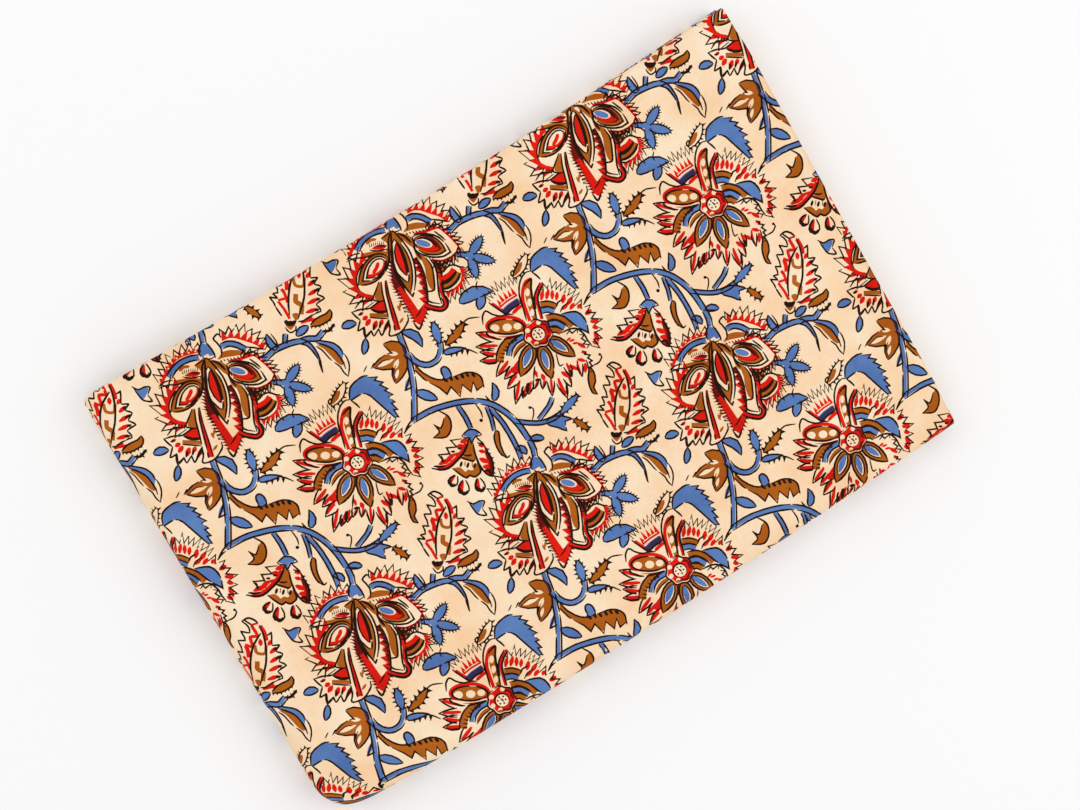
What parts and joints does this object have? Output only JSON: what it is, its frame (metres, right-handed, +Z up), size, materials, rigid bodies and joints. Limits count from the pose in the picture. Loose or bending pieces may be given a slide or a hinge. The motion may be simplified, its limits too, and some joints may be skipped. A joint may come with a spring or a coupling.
{
  "type": "folded length of block-printed cotton cloth",
  "caption": "Folded pack of printed cotton cloth with a trailing flower pattern, one thick soft fold and flat free ends.",
  "frame": {"origin": "middle of the pack's footprint, on the surface it lies on", "axes": "+X along the long side from the thick fold to the free ends, +Y across the pack, +Z up"},
  "size_m": [0.4586, 0.2984, 0.0257],
  "materials": {
    "printed_cotton": "soft matt plain-weave cotton, hand printed in blue, red, brown and near-black on a peach-cream ground"
  },
  "bodies": {
    "root": {"folded_cloth": "printed_cotton"}
  },
  "joints": []
}
